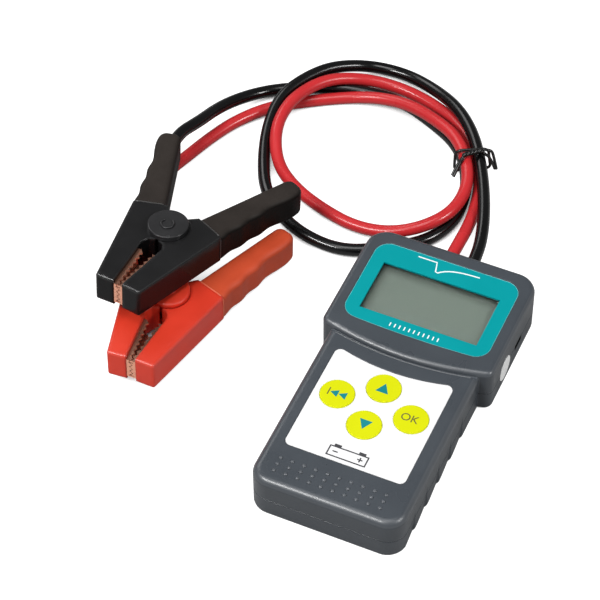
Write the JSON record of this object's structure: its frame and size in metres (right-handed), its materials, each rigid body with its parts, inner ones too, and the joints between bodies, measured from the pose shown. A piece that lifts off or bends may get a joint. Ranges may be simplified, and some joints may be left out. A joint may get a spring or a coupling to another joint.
{
  "type": "battery tester",
  "caption": "Hand-held battery tester with a teal framed display, round yellow keys and red and black clamp leads tied in a loose coil.",
  "frame": {"origin": "centre of the flat back of the housing, which lies on the table", "axes": "+Z out of the face, +Y along the housing towards the end where the leads leave, +X to the right of the face"},
  "size_m": [0.1712, 0.2373, 0.0352],
  "materials": {
    "housing_plastic": "satin",
    "screw_steel": "satin",
    "sticker_film": "matte",
    "teal_panel": "satin",
    "clear_window": "gloss",
    "lcd_glass": "satin",
    "tray_plastic": "matte",
    "label_film": "matte",
    "key_rubber": "matte",
    "switch_plastic": "matte",
    "board_laminate": "satin",
    "chip_plastic": "matte",
    "resistor_ceramic": "matte",
    "socket_steel": "satin",
    "terminal_brass": "satin",
    "gland_rubber": "matte",
    "red_cable": "gloss",
    "black_cable": "gloss",
    "tie_wire": "satin",
    "red_jaw_plastic": "gloss",
    "black_jaw_plastic": "gloss",
    "red_grip_rubber": "matte",
    "black_grip_rubber": "matte",
    "contact_copper": "satin",
    "rivet_steel": "satin",
    "spring_steel": "satin"
  },
  "bodies": {
    "housing": {"front_cover": "housing_plastic", "rear_cover": "housing_plastic", "case_screws": "screw_steel", "side_sticker": "sticker_film", "display_bezel": "teal_panel", "display_window": "clear_window", "lcd_panel": "lcd_glass", "lcd_frame": "tray_plastic", "keypad_label": "label_film", "tact_switches": "switch_plastic", "main_board": "board_laminate", "board_chips": "chip_plastic", "load_resistors": "resistor_ceramic", "usb_socket": "socket_steel", "lead_terminals": "terminal_brass", "red_gland": "gland_rubber", "black_gland": "gland_rubber", "red_lead": "red_cable", "black_lead": "black_cable", "twist_tie": "tie_wire", "red_fixed_jaw": "red_jaw_plastic", "red_fixed_grip": "red_grip_rubber", "red_fixed_contact": "contact_copper", "red_fixed_rivet": "rivet_steel", "red_pivot_pin": "red_jaw_plastic", "red_jaw_spring": "spring_steel", "black_fixed_jaw": "black_jaw_plastic", "black_fixed_grip": "black_grip_rubber", "black_fixed_contact": "contact_copper", "black_fixed_rivet": "rivet_steel", "black_pivot_pin": "black_jaw_plastic", "black_jaw_spring": "spring_steel"},
    "key_up": {"key_up": "key_rubber"},
    "key_down": {"key_down": "key_rubber"},
    "key_back": {"key_back": "key_rubber"},
    "key_ok": {"key_ok": "key_rubber"},
    "red_clamp_half": {"red_moving_jaw": "red_jaw_plastic", "red_moving_grip": "red_grip_rubber", "red_moving_contact": "contact_copper", "red_moving_rivet": "rivet_steel"},
    "black_clamp_half": {"black_moving_jaw": "black_jaw_plastic", "black_moving_grip": "black_grip_rubber", "black_moving_contact": "contact_copper", "black_moving_rivet": "rivet_steel"}
  },
  "joints": [
    {"name": "key_up_press", "type": "slide", "parent": "housing", "child": "key_up", "axis": [0, 0, -1], "range_m": [0, 0.0005], "stiffness_N_per_m": 600, "springref_m": -0.0015},
    {"name": "key_down_press", "type": "slide", "parent": "housing", "child": "key_down", "axis": [0, 0, -1], "range_m": [0, 0.0005], "stiffness_N_per_m": 600, "springref_m": -0.0015},
    {"name": "key_back_press", "type": "slide", "parent": "housing", "child": "key_back", "axis": [0, 0, -1], "range_m": [0, 0.0005], "stiffness_N_per_m": 600, "springref_m": -0.0015},
    {"name": "key_ok_press", "type": "slide", "parent": "housing", "child": "key_ok", "axis": [0, 0, -1], "range_m": [0, 0.0005], "stiffness_N_per_m": 600, "springref_m": -0.0015},
    {"name": "red_clamp_hinge", "type": "hinge", "parent": "housing", "child": "red_clamp_half", "pos_m": [-0.0976, 0.00435, 0.00917], "axis": [0, 0.0398, 0.9992], "range_deg": [0, 32], "stiffness_Nm_per_rad": 0.6, "springref_deg": -34.38, "deforming": ["red_jaw_spring"]},
    {"name": "black_clamp_hinge", "type": "hinge", "parent": "housing", "child": "black_clamp_half", "pos_m": [-0.1066, 0.02293, 0.0247], "axis": [0, 0.1054, 0.9944], "range_deg": [0, 32], "stiffness_Nm_per_rad": 0.6, "springref_deg": -34.38, "deforming": ["black_jaw_spring"]}
  ]
}
